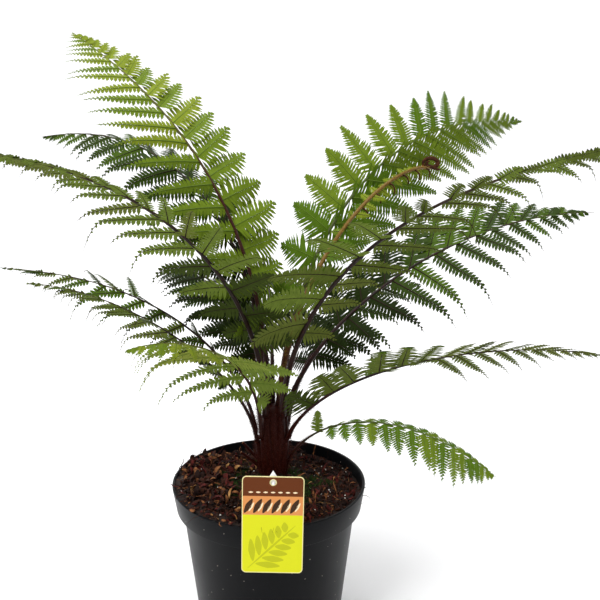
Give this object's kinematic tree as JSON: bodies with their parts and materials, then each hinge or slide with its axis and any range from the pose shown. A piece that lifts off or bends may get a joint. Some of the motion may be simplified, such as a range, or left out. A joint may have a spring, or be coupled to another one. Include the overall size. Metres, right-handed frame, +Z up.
{
  "type": "potted tree fern",
  "caption": "Young tree fern with a short clump of dark stipes and a ring of arching feathery fronds, in a round black pot with a plant label.",
  "frame": {"origin": "centre of the pot's flat underside, on the surface it stands on", "axes": "+Z up, -Y to the front where the label hangs, +X to the right as seen from the front"},
  "size_m": [0.7115, 0.5542, 0.7049],
  "materials": {
    "pot_plastic": "satin black injection-moulded polypropylene with a little pale dust",
    "compost": "reddish-brown bark and coir chips with moss and a few white perlite grains",
    "stalk": "dark red-brown fluted stipes with fine reddish hairs",
    "leaf": "soft satin green fern leaf, paler and olive underneath",
    "young_leaf": "young yellow-green fern leaf on a golden-brown scaly rib",
    "label_card": "thin printed plastic card in plain bands of brown, tan and lime",
    "stake_plastic": "white moulded polypropylene"
  },
  "bodies": {
    "root": {"pot": "pot_plastic", "compost": "compost", "trunk": "stalk", "label_stake": "stake_plastic", "label_card": "label_card", "blade_back_left_inner": "leaf", "blade_back_left_outer": "leaf", "blade_back_low_left_inner": "leaf", "blade_back_low_left_outer": "leaf", "blade_back_low_right_inner": "leaf", "blade_back_low_right_outer": "leaf", "blade_back_middle_inner": "leaf", "blade_back_middle_outer": "leaf", "blade_broad_right_inner": "leaf", "blade_broad_right_outer": "leaf", "blade_front_left_inner": "leaf", "blade_front_left_outer": "leaf", "blade_front_right_inner": "leaf", "blade_front_right_outer": "leaf", "blade_inner_left_inner": "leaf", "blade_inner_left_outer": "leaf", "blade_low_left_inner": "leaf", "blade_low_left_outer": "leaf", "blade_low_right_inner": "leaf", "blade_low_right_outer": "leaf", "blade_lower_left_inner": "leaf", "blade_lower_left_outer": "leaf", "blade_near_left_inner": "leaf", "blade_near_left_outer": "leaf", "blade_right_inner": "leaf", "blade_right_outer": "leaf", "blade_small_right_inner": "leaf", "blade_small_right_outer": "leaf", "blade_tall_left_inner": "leaf", "blade_tall_left_outer": "leaf", "blade_young_right_inner": "young_leaf", "blade_young_right_outer": "young_leaf", "crozier": "stalk", "stipe_back_left": "stalk", "stipe_back_low_left": "stalk", "stipe_back_low_right": "stalk", "stipe_back_middle": "stalk", "stipe_broad_right": "stalk", "stipe_front_left": "stalk", "stipe_front_right": "stalk", "stipe_inner_left": "stalk", "stipe_low_left": "stalk", "stipe_low_right": "stalk", "stipe_lower_left": "stalk", "stipe_near_left": "stalk", "stipe_right": "stalk", "stipe_small_right": "stalk", "stipe_tall_left": "stalk", "stipe_young_right": "stalk", "stub_lower": "stalk", "stub_upper": "stalk"}
  },
  "joints": []
}
